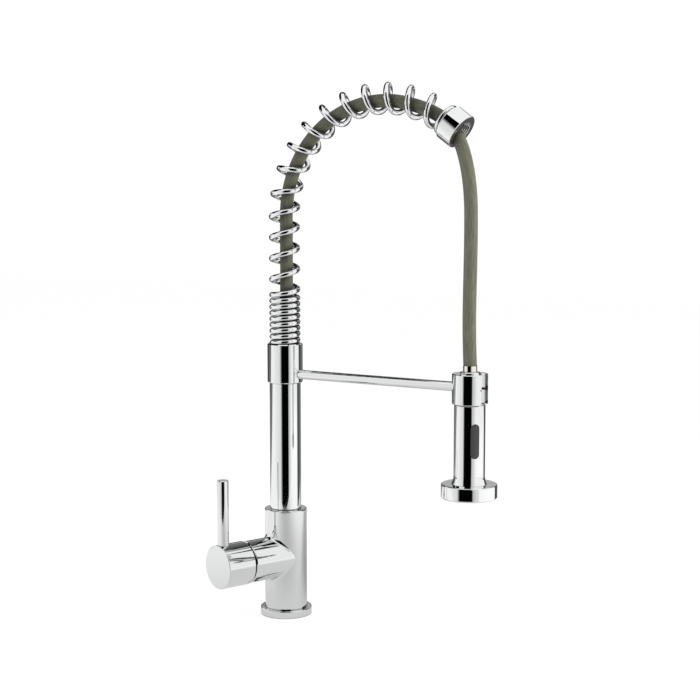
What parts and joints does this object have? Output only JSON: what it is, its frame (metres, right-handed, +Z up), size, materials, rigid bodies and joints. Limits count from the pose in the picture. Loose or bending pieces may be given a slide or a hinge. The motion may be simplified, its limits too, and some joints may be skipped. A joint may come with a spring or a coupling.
{
  "type": "kitchen mixer tap",
  "caption": "Tall single-lever kitchen mixer tap: round column with a side lever, riser, arched spring neck round a hose, arm with an open clip and a pull-out spray handset with a push button.",
  "frame": {"origin": "on the deck, at the axis of the column", "axes": "+Z up along the column, +X along the arm from the column to the handset as it stands in the picture"},
  "size_m": [0.2997, 0.1186, 0.5639],
  "materials": {
    "polished_chrome": "mirror-polished chrome plate on brass",
    "satin_chrome": "chrome plate with a softer sheen on cast brass",
    "spring_chrome": "chrome plate on wound steel wire",
    "hose_sheath": "matt olive-grey hose sheath with fine lengthwise streaks",
    "dark_rubber": "dark grey moulded rubber",
    "seal_rubber": "black sealing rubber",
    "ceramic": "lapped white ceramic",
    "inner_plastic": "grey moulded plastic",
    "face_plastic": "grey moulded plastic",
    "brass": "turned brass",
    "steel": "turned stainless steel"
  },
  "bodies": {
    "mixer": {"base_ring": "satin_chrome", "base_seal": "seal_rubber", "mixer_body": "satin_chrome", "slip_ring": "inner_plastic", "lock_screw": "steel", "cartridge_gasket": "seal_rubber", "cartridge_base": "inner_plastic", "fixed_disc": "ceramic", "cartridge_housing": "inner_plastic", "cartridge_nut": "brass"},
    "spout": {"riser_foot": "brass", "foot_seals": "seal_rubber", "riser_tube": "polished_chrome", "hose_nipple": "brass", "hose_tail_sleeve": "steel", "riser_plug": "brass", "collar": "polished_chrome", "collar_screw": "steel", "arm_rod": "polished_chrome", "handset_clip": "polished_chrome", "slot_pads": "seal_rubber", "support_spring": "spring_chrome", "spring_ferrule": "polished_chrome", "hose_in_spring": "hose_sheath", "hose_drop": "hose_sheath"},
    "rotor": {"rotor": "inner_plastic", "pivot_pin": "steel"},
    "lever": {"spindle": "brass", "lever_cap": "satin_chrome", "lever_pin": "polished_chrome", "cap_screw": "steel"},
    "disc": {"moving_disc": "ceramic", "disc_carrier": "inner_plastic"},
    "hose_end": {"hose_end_sleeve": "polished_chrome"},
    "handset": {"hose_neck": "polished_chrome", "neck_washer": "seal_rubber", "check_valve": "inner_plastic", "handset_shell": "polished_chrome", "handset_core": "inner_plastic", "spray_face": "face_plastic", "spray_nozzles": "dark_rubber", "aerator": "face_plastic", "button_spring": "steel"},
    "button": {"spray_button": "dark_rubber", "button_plunger": "inner_plastic"}
  },
  "joints": [
    {"name": "spout_swivel", "type": "hinge", "parent": "mixer", "child": "spout", "pos_m": [0, 0, 0.1], "axis": [0, 0, 1], "continuous": true},
    {"name": "lever_turn", "type": "hinge", "parent": "mixer", "child": "rotor", "pos_m": [0, 0, 0.0634], "axis": [-0.3616, -0.9323, 0], "range_deg": [-45, 45]},
    {"name": "lever_lift", "type": "hinge", "parent": "rotor", "child": "lever", "pos_m": [-0.0132, -0.03403, 0.0634], "axis": [0.9323, -0.3616, 0], "range_deg": [0, 20]},
    {"name": "disc_slide", "type": "slide", "parent": "rotor", "child": "disc", "axis": [0, 0, 1], "range_m": [0, 0.0026]},
    {"name": "handset_pull", "type": "slide", "parent": "spout", "child": "hose_end", "axis": [0, 0, -1], "range_m": [0, 0.045], "stiffness_N_per_m": 60, "springref_m": -0.1, "deforming": ["hose_drop"]},
    {"name": "handset_spin", "type": "hinge", "parent": "hose_end", "child": "handset", "pos_m": [0.2183, 0, 0.25], "axis": [0, 0, 1], "continuous": true},
    {"name": "button_press", "type": "slide", "parent": "handset", "child": "button", "axis": [-0.7254, 0.6884, 0], "range_m": [0, 0.0015], "stiffness_N_per_m": 800, "springref_m": -0.002, "deforming": ["button_spring"]}
  ],
  "couplings": [
    {"joint": "disc_slide", "follows": "lever_lift", "m_per_rad": 0.0072}
  ]
}
